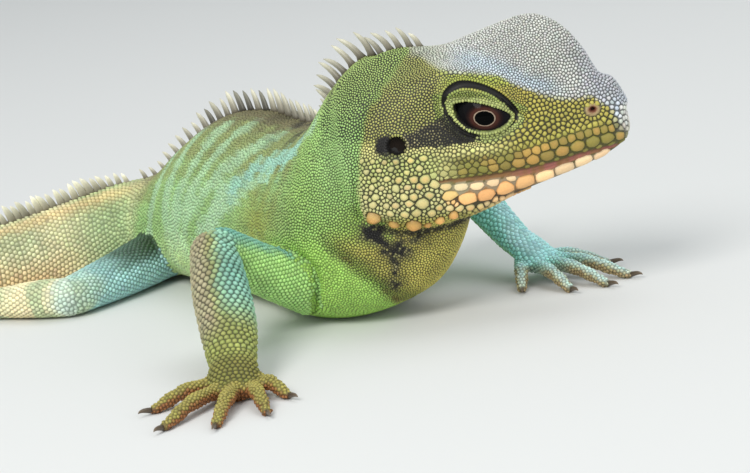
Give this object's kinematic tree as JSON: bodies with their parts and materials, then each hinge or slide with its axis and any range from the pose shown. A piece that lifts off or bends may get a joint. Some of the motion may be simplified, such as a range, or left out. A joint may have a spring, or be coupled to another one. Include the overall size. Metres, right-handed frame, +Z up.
{
  "type": "water dragon lizard model",
  "caption": "Life-size still model of a male green water dragon resting on its belly, head raised, spiny crest from nape to tail, long tail curled behind.",
  "frame": {"origin": "middle of the flat on which the belly rests, on the floor", "axes": "+X the way the snout points, +Y the lizard's left, +Z up; the tail runs towards -X"},
  "size_m": [0.4472, 0.2555, 0.0688],
  "materials": {
    "skin": "granular scales, satin, green with pale bands and a grey crown",
    "crest": "satin pale horn with darker bases",
    "eye": "wet gloss, brown iris with a pale ring round the pupil",
    "eardrum": "thin dark membrane, satin",
    "claw": "satin horn"
  },
  "bodies": {
    "root": {"head": "skin", "jaw": "skin", "neck": "skin", "trunk": "skin", "hips": "skin", "tail_1": "skin", "tail_2": "skin", "tail_3": "skin", "tail_4": "skin", "tail_5": "skin", "upper_arm_right": "skin", "forearm_right": "skin", "hand_right": "skin", "thigh_right": "skin", "shank_right": "skin", "foot_right": "skin", "upper_arm_left": "skin", "forearm_left": "skin", "hand_left": "skin", "thigh_left": "skin", "shank_left": "skin", "foot_left": "skin", "eye_left": "eye", "ear_left": "eardrum", "eye_right": "eye", "ear_right": "eardrum", "crest_nape": "crest", "crest_back": "crest", "crest_tail": "crest", "claw_hand_right_1": "claw", "claw_hand_right_2": "claw", "claw_hand_right_3": "claw", "claw_hand_right_4": "claw", "claw_hand_right_5": "claw", "claw_foot_right_1": "claw", "claw_foot_right_2": "claw", "claw_foot_right_3": "claw", "claw_foot_right_4": "claw", "claw_foot_right_5": "claw", "claw_hand_left_1": "claw", "claw_hand_left_2": "claw", "claw_hand_left_3": "claw", "claw_hand_left_4": "claw", "claw_hand_left_5": "claw", "claw_foot_left_1": "claw", "claw_foot_left_2": "claw", "claw_foot_left_3": "claw", "claw_foot_left_4": "claw", "claw_foot_left_5": "claw"}
  },
  "joints": []
}
